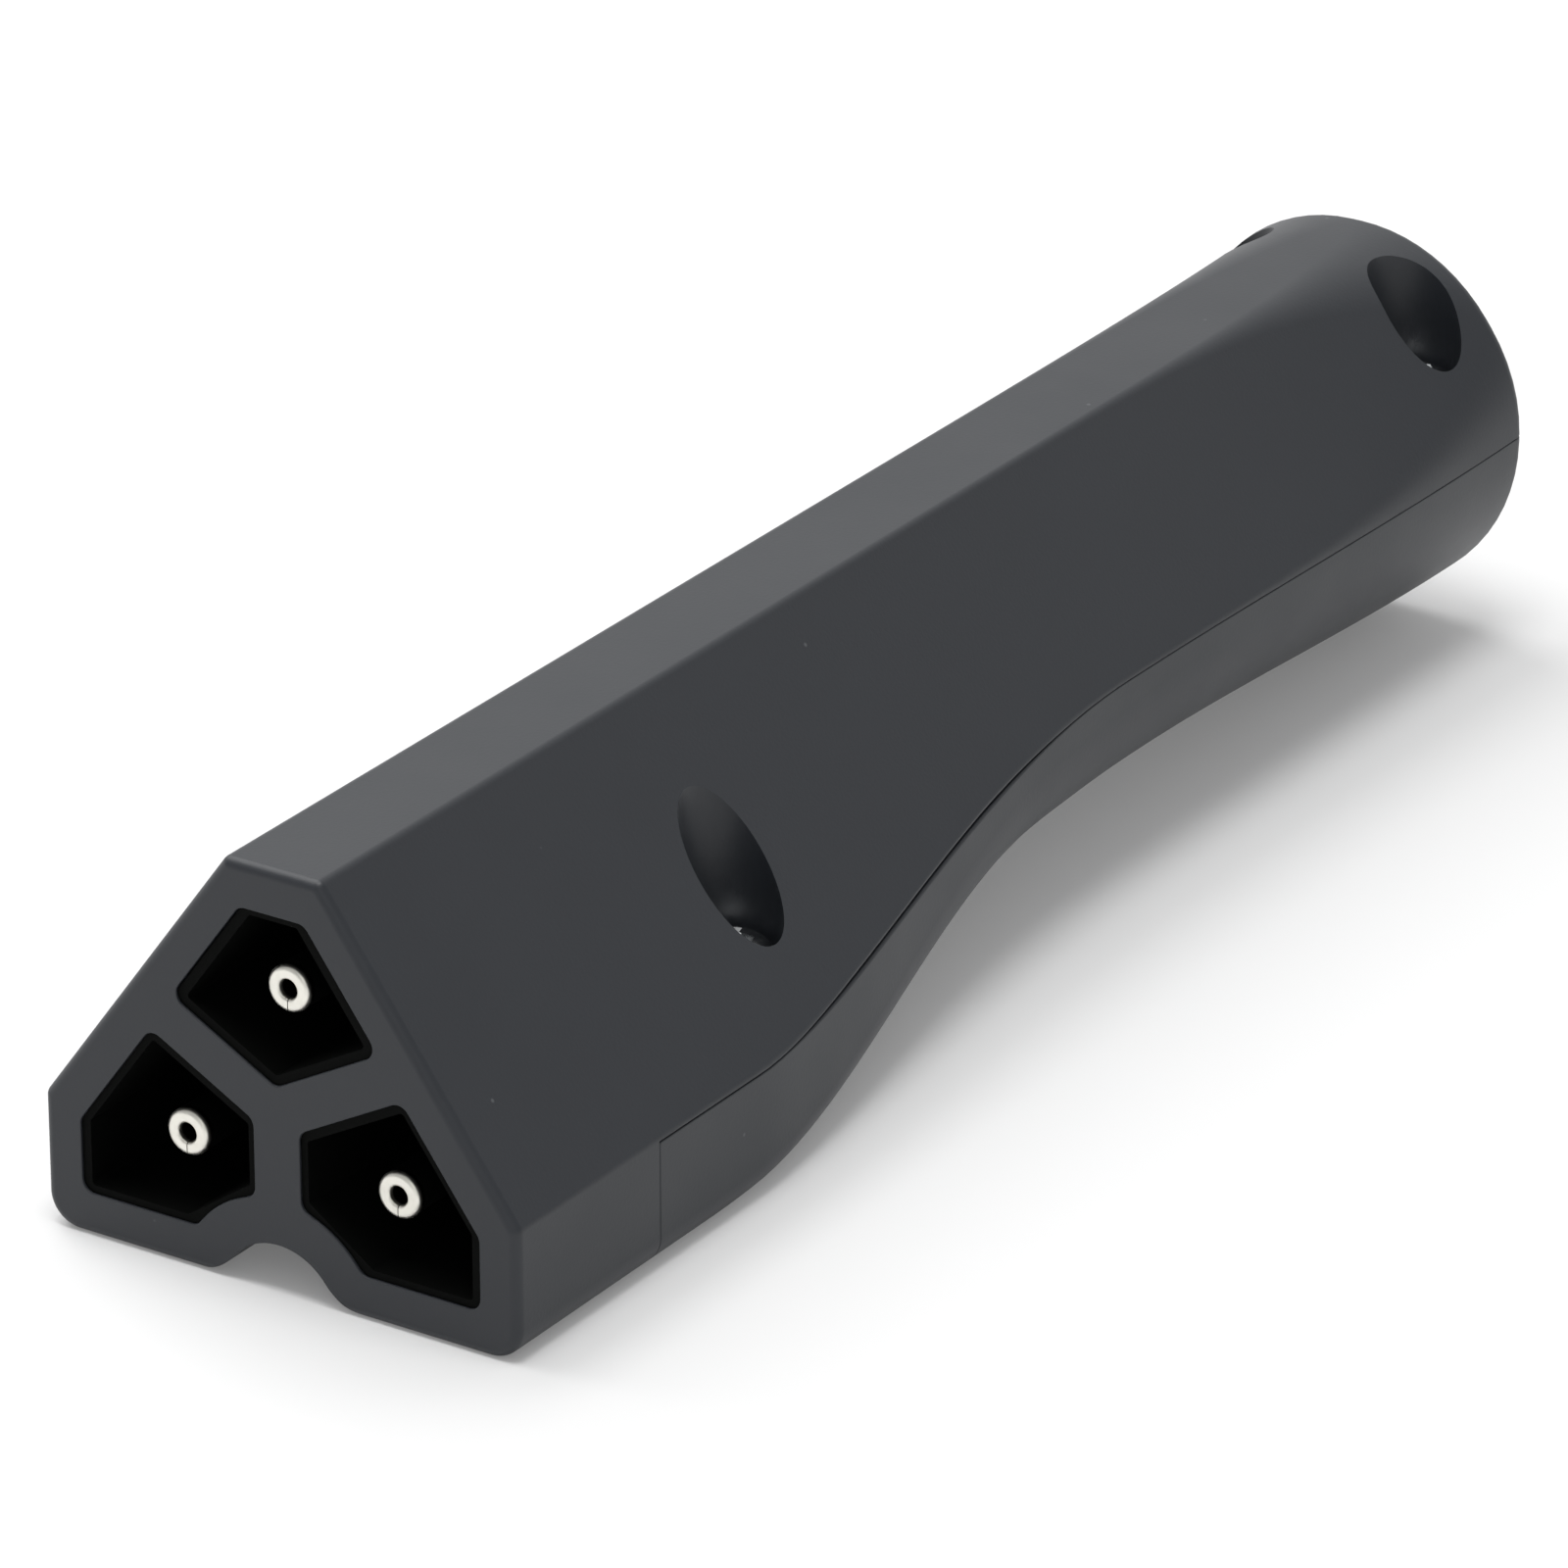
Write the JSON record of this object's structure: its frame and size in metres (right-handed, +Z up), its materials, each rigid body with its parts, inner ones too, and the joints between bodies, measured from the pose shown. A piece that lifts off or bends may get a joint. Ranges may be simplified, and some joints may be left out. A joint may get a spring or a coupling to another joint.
{
  "type": "golf cart charger plug",
  "caption": "Hand-held charger plug with a triangular nose, recessed socket contacts in separate wells, a key groove under the nose and a long waisted handle with a cable inlet.",
  "frame": {"origin": "in the mating face of the nose, at the point where the three webs between the wells meet", "axes": "+Y from the mating face back along the handle to the cable end, +Z up from the keyed underside to the ridge, +X to the right when the part is looked at from the mating face"},
  "size_m": [0.052, 0.1896, 0.0418],
  "materials": {
    "housing_plastic": "moulded, fine matte texture",
    "insulator_plastic": "moulded, dull black",
    "clamp_plastic": "moulded",
    "grommet_rubber": "moulded rubber",
    "contact_metal": "turned brass, bright silver-coloured plating",
    "terminal_metal": "turned brass",
    "screw_steel": "bright zinc plating"
  },
  "bodies": {
    "root": {"upper_housing": "housing_plastic", "lower_housing": "housing_plastic", "contact_carrier": "insulator_plastic", "contact_retainer": "insulator_plastic", "retainer_screw_left": "screw_steel", "retainer_screw_right": "screw_steel", "contact_top": "contact_metal", "contact_left": "contact_metal", "contact_right": "contact_metal", "contact_sleeve_top": "insulator_plastic", "contact_sleeve_left": "insulator_plastic", "contact_sleeve_right": "insulator_plastic", "terminal_screw_top": "terminal_metal", "terminal_screw_left": "terminal_metal", "terminal_screw_right": "terminal_metal", "housing_screw_front_left": "screw_steel", "housing_screw_front_right": "screw_steel", "housing_screw_rear_left": "screw_steel", "housing_screw_rear_right": "screw_steel", "cord_clamp": "clamp_plastic", "cord_clamp_screw_left": "screw_steel", "cord_clamp_screw_right": "screw_steel", "cord_grommet": "grommet_rubber"}
  },
  "joints": []
}
